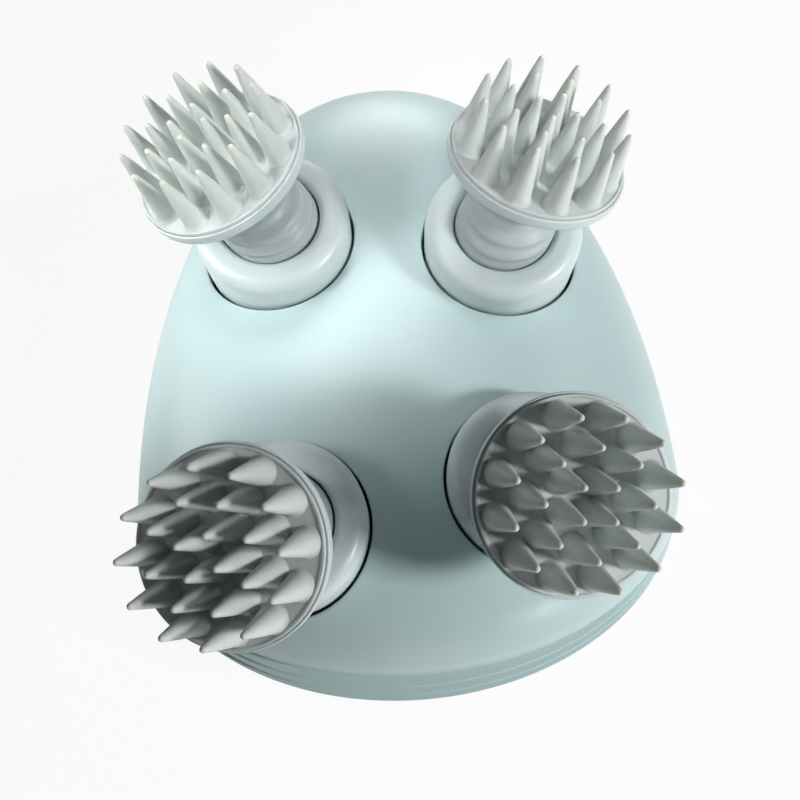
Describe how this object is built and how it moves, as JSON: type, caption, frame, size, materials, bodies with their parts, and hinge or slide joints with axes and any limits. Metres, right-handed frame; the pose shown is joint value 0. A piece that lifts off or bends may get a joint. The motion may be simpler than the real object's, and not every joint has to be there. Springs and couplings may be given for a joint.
{
  "type": "electric scalp massager",
  "caption": "Palm-held electric scalp massager: egg-shaped housing with leaning silicone brush heads on geared rotating cups, and a power button on the palm side.",
  "frame": {"origin": "centre of the housing outline in X and Y, on the flat palm face that the massager lies on (Z = 0)", "axes": "+Z from the palm side to the brush heads, +Y along the housing towards its narrow end, +X across to the right seen from the brush side with the narrow end up"},
  "size_m": [0.1108, 0.136, 0.0794],
  "materials": {
    "housing_satin": "satin pale grey-aqua ABS",
    "rotor_satin": "satin pale grey-aqua ABS of the rotating cups and plates",
    "button_satin": "satin pale grey-aqua ABS of the button cap",
    "soft_silicone": "pale grey silicone, semi-matt",
    "dark_rubber": "black sealing rubber",
    "plug_rubber": "pale grey rubber plugs",
    "inner_plastic": "plain glass-filled nylon",
    "gear_plastic": "natural acetal",
    "steel": "ground steel",
    "bronze": "sintered bronze bearings",
    "pinion_brass": "machined brass",
    "contact_gold": "gold-plated brass contacts",
    "motor_steel": "nickel-plated steel can",
    "black_plastic": "black moulded plastic",
    "cell_sleeve": "shrink sleeve of the cell",
    "board_green": "solder resist on glass-fibre board",
    "lead_red": "silicone-sleeved leads",
    "bezel_metal": "anodised aluminium",
    "light_white": "milky light guide"
  },
  "bodies": {
    "housing": {"front_shell": "housing_satin", "trim_band": "housing_satin", "seam_gasket": "dark_rubber", "back_shell": "housing_satin", "shell_screws": "steel", "screw_plugs": "plug_rubber", "drive_plate": "inner_plastic", "drive_cover": "inner_plastic", "drive_screws": "steel", "head_bearings": "bronze", "head_seals": "dark_rubber", "central_axle": "steel", "reduction_axle": "steel", "motor_can": "motor_steel", "motor_end_cap": "black_plastic", "motor_leads": "lead_red", "battery_cell": "cell_sleeve", "battery_cradle": "inner_plastic", "battery_leads": "lead_red", "circuit_board": "board_green", "board_screws": "steel", "tact_switch": "black_plastic", "button_bezel": "bezel_metal", "light_ring": "light_white", "button_spring": "steel", "charge_contacts": "contact_gold", "charge_leads": "lead_red"},
    "head_front_left": {"collar_front_left": "rotor_satin", "spindle_front_left": "steel", "gear_front_left": "gear_plastic", "neck_front_left": "soft_silicone", "plate_front_left": "rotor_satin", "brush_front_left": "soft_silicone"},
    "head_front_right": {"collar_front_right": "rotor_satin", "spindle_front_right": "steel", "gear_front_right": "gear_plastic", "neck_front_right": "soft_silicone", "plate_front_right": "rotor_satin", "brush_front_right": "soft_silicone"},
    "head_rear_left": {"collar_rear_left": "rotor_satin", "spindle_rear_left": "steel", "gear_rear_left": "gear_plastic", "neck_rear_left": "soft_silicone", "plate_rear_left": "rotor_satin", "brush_rear_left": "soft_silicone"},
    "head_rear_right": {"collar_rear_right": "rotor_satin", "spindle_rear_right": "steel", "gear_rear_right": "gear_plastic", "neck_rear_right": "soft_silicone", "plate_rear_right": "rotor_satin", "brush_rear_right": "soft_silicone"},
    "central_wheel": {"central_wheel": "gear_plastic"},
    "reduction_gear": {"reduction_gear": "gear_plastic"},
    "motor_rotor": {"motor_shaft": "steel", "motor_pinion": "pinion_brass"},
    "power_button": {"button_cap": "button_satin", "switch_plunger": "light_white"}
  },
  "joints": [
    {"name": "head_front_left_spin", "type": "hinge", "parent": "housing", "child": "head_front_left", "pos_m": [-0.022, -0.0364, 0.04], "axis": [0, 0, 1], "continuous": true},
    {"name": "head_front_right_spin", "type": "hinge", "parent": "housing", "child": "head_front_right", "pos_m": [0.022, -0.0312, 0.04], "axis": [0, 0, 1], "continuous": true},
    {"name": "head_rear_left_spin", "type": "hinge", "parent": "housing", "child": "head_rear_left", "pos_m": [-0.022, 0.0214, 0.04], "axis": [0, 0, 1], "continuous": true},
    {"name": "head_rear_right_spin", "type": "hinge", "parent": "housing", "child": "head_rear_right", "pos_m": [0.022, 0.0162, 0.04], "axis": [0, 0, 1], "continuous": true},
    {"name": "central_wheel_spin", "type": "hinge", "parent": "housing", "child": "central_wheel", "pos_m": [-0.00311, -0.0075, 0.016], "axis": [0, 0, 1], "continuous": true},
    {"name": "reduction_gear_spin", "type": "hinge", "parent": "housing", "child": "reduction_gear", "pos_m": [-0.00311, 0.02093, 0.012], "axis": [0, 0, 1], "continuous": true},
    {"name": "motor_spin", "type": "hinge", "parent": "housing", "child": "motor_rotor", "pos_m": [0, 0.03988, 0.02], "axis": [0, 0, 1], "continuous": true},
    {"name": "power_button_press", "type": "slide", "parent": "housing", "child": "power_button", "axis": [0, 0, 1], "range_m": [0, 0.0008], "stiffness_N_per_m": 900, "springref_m": -0.001, "deforming": ["button_spring"]}
  ],
  "couplings": [
    {"joint": "head_front_right_spin", "follows": "head_front_left_spin", "ratio": 1},
    {"joint": "head_rear_left_spin", "follows": "head_front_left_spin", "ratio": 1},
    {"joint": "head_rear_right_spin", "follows": "head_front_left_spin", "ratio": 1},
    {"joint": "central_wheel_spin", "follows": "head_front_left_spin", "ratio": -0.54546},
    {"joint": "reduction_gear_spin", "follows": "head_front_left_spin", "ratio": 2},
    {"joint": "motor_spin", "follows": "head_front_left_spin", "ratio": -7.6}
  ]
}
